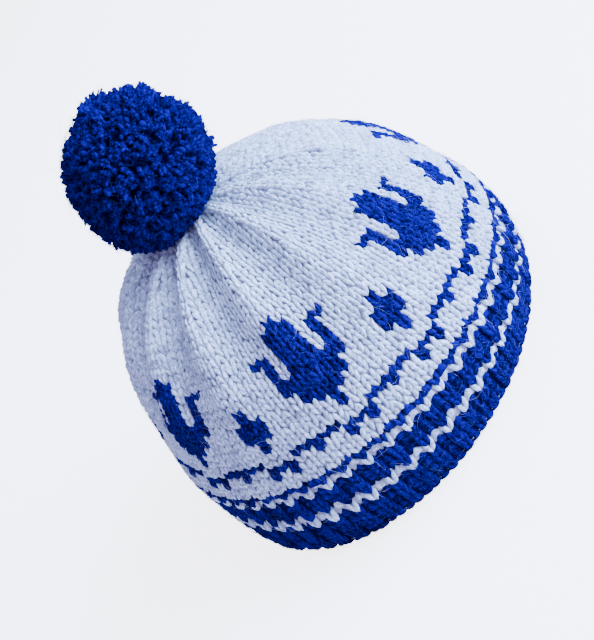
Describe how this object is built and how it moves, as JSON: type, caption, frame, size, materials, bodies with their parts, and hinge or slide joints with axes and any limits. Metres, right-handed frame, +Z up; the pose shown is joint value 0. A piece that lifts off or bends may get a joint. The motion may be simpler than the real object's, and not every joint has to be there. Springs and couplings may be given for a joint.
{
  "type": "knitted bobble hat",
  "caption": "Domed knitted winter hat with a ribbed striped band, a tick border, tulip motifs, a crown gathered into radiating folds and a large cut-yarn pompom.",
  "frame": {"origin": "on the ground under the middle of the hat's bounding box, where the rim rests", "axes": "+Z up from the rim to the pompom; the front of the pattern seen in the picture faces -Y"},
  "size_m": [0.1782, 0.1768, 0.1753],
  "materials": {
    "blue_yarn": "matte royal blue wool",
    "white_yarn": "matte white wool"
  },
  "bodies": {
    "root": {"ribbed_band": "blue_yarn", "crown": "white_yarn", "pompom": "blue_yarn"}
  },
  "joints": []
}
